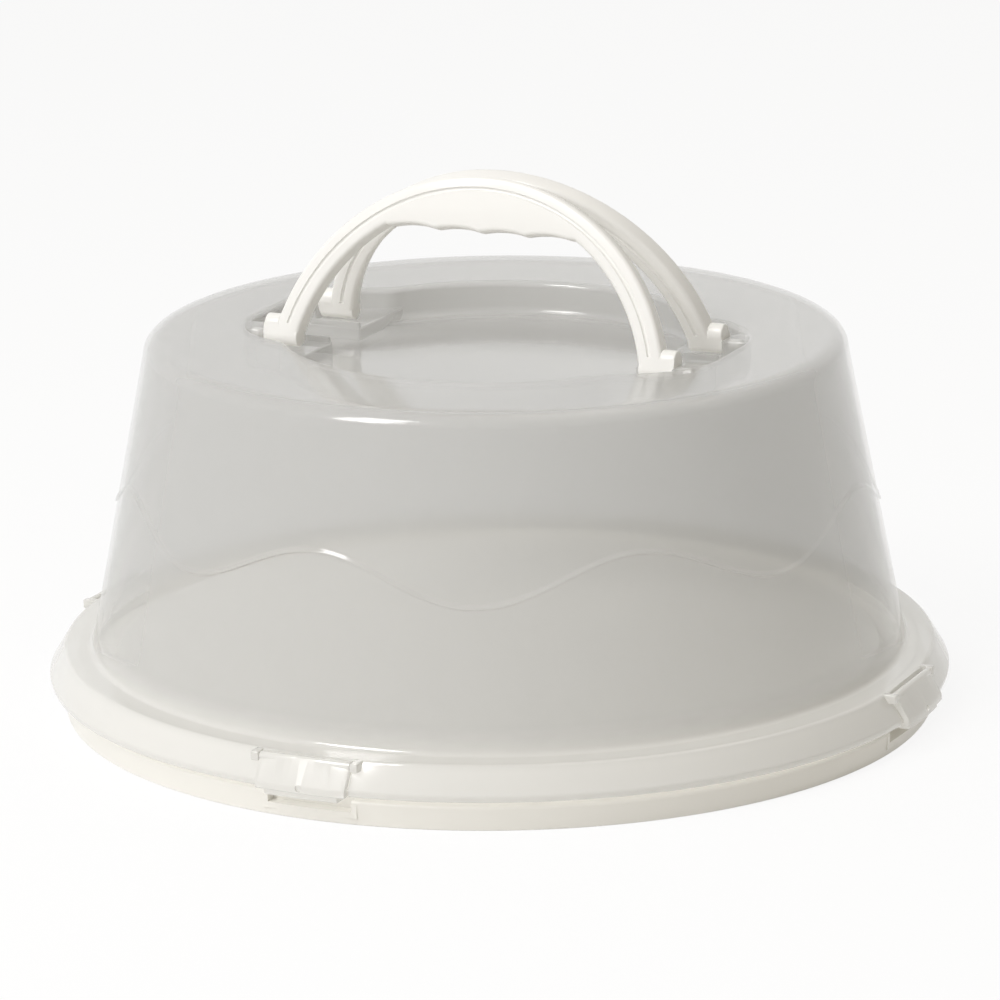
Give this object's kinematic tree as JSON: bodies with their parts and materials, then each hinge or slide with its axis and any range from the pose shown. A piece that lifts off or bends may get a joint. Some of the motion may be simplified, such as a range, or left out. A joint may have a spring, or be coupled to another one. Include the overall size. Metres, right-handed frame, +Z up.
{
  "type": "cake carrier",
  "caption": "Round cake carrier: a tray under a translucent domed cover, held by snap clips around its skirt, with folding carrying handles in a recess on top.",
  "frame": {"origin": "centre of the tray's foot, on the table", "axes": "+Z up, +X along the handle pins, -Y towards the front clip; closed, with both handles raised"},
  "size_m": [0.3568, 0.3568, 0.2087],
  "materials": {
    "tray": "white polypropylene, satin gloss",
    "cover": "translucent natural polypropylene, milky, glossy outside",
    "handle": "white polypropylene, satin gloss",
    "clip": "translucent natural polypropylene, thick and nearly white"
  },
  "bodies": {
    "tray": {"base_tray": "tray"},
    "cover": {"lid": "cover"},
    "front_handle": {"front_handle": "handle"},
    "rear_handle": {"rear_handle": "handle"},
    "clip_front": {"clip_front": "clip"},
    "clip_right": {"clip_right": "clip"},
    "clip_back": {"clip_back": "clip"},
    "clip_left": {"clip_left": "clip"}
  },
  "joints": [
    {"name": "cover_lift", "type": "slide", "parent": "tray", "child": "cover", "axis": [0, 0, 1], "range_m": [0, 0.2]},
    {"name": "front_handle_fold", "type": "hinge", "parent": "cover", "child": "front_handle", "pos_m": [0, -0.02481, 0.1433], "axis": [1, 0, 0], "range_deg": [0, 85]},
    {"name": "rear_handle_fold", "type": "hinge", "parent": "cover", "child": "rear_handle", "pos_m": [0, 0.02481, 0.1433], "axis": [-1, 0, 0], "range_deg": [0, 85]},
    {"name": "front_clip_swing", "type": "hinge", "parent": "cover", "child": "clip_front", "pos_m": [0, -0.1716, 0.0234], "axis": [-1, 0, 0], "range_deg": [0, 60]},
    {"name": "right_clip_swing", "type": "hinge", "parent": "cover", "child": "clip_right", "pos_m": [0.1716, 0, 0.0234], "axis": [0, -1, 0], "range_deg": [0, 60]},
    {"name": "back_clip_swing", "type": "hinge", "parent": "cover", "child": "clip_back", "pos_m": [0, 0.1716, 0.0234], "axis": [1, 0, 0], "range_deg": [0, 60]},
    {"name": "left_clip_swing", "type": "hinge", "parent": "cover", "child": "clip_left", "pos_m": [-0.1716, 0, 0.0234], "axis": [0, 1, 0], "range_deg": [0, 60]}
  ]
}
